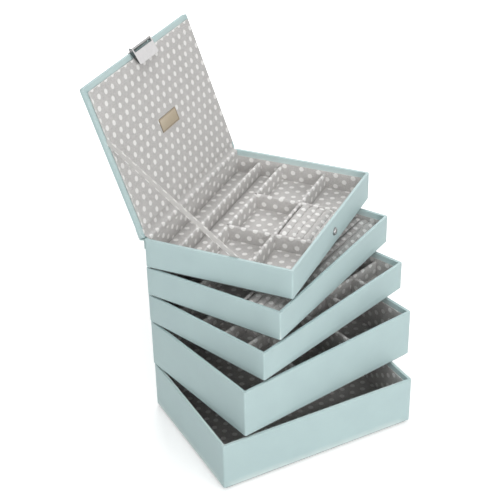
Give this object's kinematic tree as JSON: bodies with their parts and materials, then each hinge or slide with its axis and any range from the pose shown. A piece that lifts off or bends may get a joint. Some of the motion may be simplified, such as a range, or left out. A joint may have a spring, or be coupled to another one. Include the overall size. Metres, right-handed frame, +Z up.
{
  "type": "tiered jewelry box",
  "caption": "Stack of lined jewelry trays fanned about one corner, with dividers, ring rolls and a clasped lid.",
  "frame": {"origin": "centre of the base tray's underside, where its foot rests", "axes": "+X along the base tray's long side, from the turning corner outwards, -Y out of its front, +Z up"},
  "size_m": [0.3483, 0.3761, 0.422],
  "materials": {
    "pale_blue_leatherette": "matt grained",
    "dotted_lining": "smooth woven, printed with pale dots",
    "dotted_ribbon": "flat tape, printed with pale dots",
    "grey_board": "raw pulp board",
    "foot_felt": "short felt",
    "taupe_plate": "satin",
    "bright_chrome": "polished",
    "plain_steel": "bright"
  },
  "bodies": {
    "base_tray": {"base_tray_board": "grey_board", "base_tray_wrap": "pale_blue_leatherette", "base_tray_lining": "dotted_lining", "base_tray_floor_pad": "dotted_lining", "base_tray_foot": "foot_felt"},
    "deep_tray": {"deep_tray_board": "grey_board", "deep_tray_wrap": "pale_blue_leatherette", "deep_tray_lining": "dotted_lining", "deep_tray_floor_pad": "dotted_lining", "deep_tray_foot": "foot_felt", "deep_tray_left_divider": "dotted_lining", "deep_tray_right_divider": "dotted_lining"},
    "grid_tray": {"grid_tray_board": "grey_board", "grid_tray_wrap": "pale_blue_leatherette", "grid_tray_lining": "dotted_lining", "grid_tray_floor_pad": "dotted_lining", "grid_tray_foot": "foot_felt", "grid_tray_long_divider_1": "dotted_lining", "grid_tray_long_divider_2": "dotted_lining", "grid_tray_long_divider_3": "dotted_lining", "grid_tray_long_divider_4": "dotted_lining", "grid_tray_cross_divider_1": "dotted_lining", "grid_tray_cross_divider_2": "dotted_lining", "grid_tray_cross_divider_3": "dotted_lining", "grid_tray_cross_divider_4": "dotted_lining"},
    "ring_tray": {"ring_tray_board": "grey_board", "ring_tray_wrap": "pale_blue_leatherette", "ring_tray_lining": "dotted_lining", "ring_tray_floor_pad": "dotted_lining", "ring_tray_foot": "foot_felt", "ring_tray_back_divider": "dotted_lining", "ring_tray_front_divider": "dotted_lining", "ring_tray_rolls": "dotted_lining"},
    "top_tray": {"top_tray_board": "grey_board", "top_tray_wrap": "pale_blue_leatherette", "top_tray_lining": "dotted_lining", "top_tray_floor_pad": "dotted_lining", "top_tray_foot": "foot_felt", "top_tray_back_divider": "dotted_lining", "top_tray_middle_divider": "dotted_lining", "top_tray_front_divider": "dotted_lining", "top_tray_left_divider": "dotted_lining", "top_tray_right_divider": "dotted_lining", "top_tray_rolls": "dotted_lining", "catch_washer": "bright_chrome", "catch_stud": "bright_chrome", "lid_spine": "pale_blue_leatherette", "lid_hinge_lining": "dotted_lining", "lid_ribbon": "dotted_ribbon"},
    "lid": {"lid_board": "grey_board", "lid_wrap": "pale_blue_leatherette", "lid_lining_panel": "dotted_lining", "lid_blank_plate": "taupe_plate", "clasp_bracket": "bright_chrome", "clasp_pin": "plain_steel", "clasp_rivets": "bright_chrome"},
    "clasp": {"clasp_flap": "bright_chrome", "clasp_magnet": "plain_steel"}
  },
  "joints": [
    {"name": "deep_tray_turn", "type": "hinge", "parent": "base_tray", "child": "deep_tray", "pos_m": [-0.113, 0.0755, 0.066], "axis": [0, 0, 1], "range_deg": [-9.8, 5.2]},
    {"name": "grid_tray_turn", "type": "hinge", "parent": "deep_tray", "child": "grid_tray", "pos_m": [-0.113, 0.0755, 0.1288], "axis": [0, 0, 1], "range_deg": [-9.6, 5.4]},
    {"name": "ring_tray_turn", "type": "hinge", "parent": "grid_tray", "child": "ring_tray", "pos_m": [-0.113, 0.0755, 0.1676], "axis": [0, 0, 1], "range_deg": [-9.5, 5.5]},
    {"name": "top_tray_turn", "type": "hinge", "parent": "ring_tray", "child": "top_tray", "pos_m": [-0.113, 0.0755, 0.2064], "axis": [0, 0, 1], "range_deg": [-9, 6]},
    {"name": "lid_hinge", "type": "hinge", "parent": "top_tray", "child": "lid", "pos_m": [-0.03382, 0.15774, 0.24273], "axis": [-0.7891, -0.6143, 0], "range_deg": [-109.8, 0], "deforming": ["lid_spine", "lid_hinge_lining", "lid_ribbon"]},
    {"name": "clasp_swing", "type": "hinge", "parent": "lid", "child": "clasp", "pos_m": [-0.06825, 0.20686, 0.41985], "axis": [0.7891, 0.6143, 0], "range_deg": [-71, 0]}
  ],
  "couplings": [
    {"joint": "clasp_swing", "follows": "lid_hinge", "ratio": 0.64663}
  ]
}
